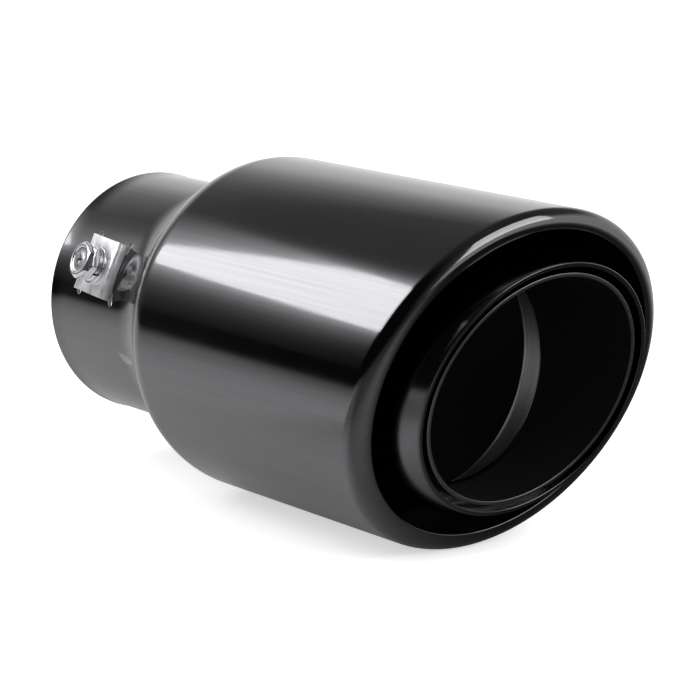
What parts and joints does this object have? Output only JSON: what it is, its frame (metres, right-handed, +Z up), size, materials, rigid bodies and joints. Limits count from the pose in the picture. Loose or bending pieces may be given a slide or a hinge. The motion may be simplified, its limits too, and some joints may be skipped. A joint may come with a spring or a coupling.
{
  "type": "exhaust tip",
  "caption": "Round clamp-on exhaust tip: a narrower collar with a screw bracket flares into a wide shell whose slanted mouth has a rolled lip and a nested sleeve and pipe.",
  "frame": {"origin": "on the axis at the collar's back end, where the tailpipe goes in", "axes": "+X along the axis towards the mouth, +Z up with the mouth's long side rolled 8.9 degrees off it, +Y to the left when looking along +X"},
  "size_m": [0.1952, 0.1, 0.1],
  "materials": {
    "shell": "black chrome, polished",
    "mouth_rings": "black chrome, polished",
    "bracket": "bright zinc plate",
    "fasteners": "bright zinc plate"
  },
  "bodies": {
    "root": {"shell": "shell", "mid_sleeve": "mouth_rings", "inner_pipe": "mouth_rings", "clamp_bracket": "bracket", "flat_washer": "fasteners", "spring_washer": "fasteners", "lock_nut": "fasteners", "clamp_screw": "fasteners"}
  },
  "joints": []
}
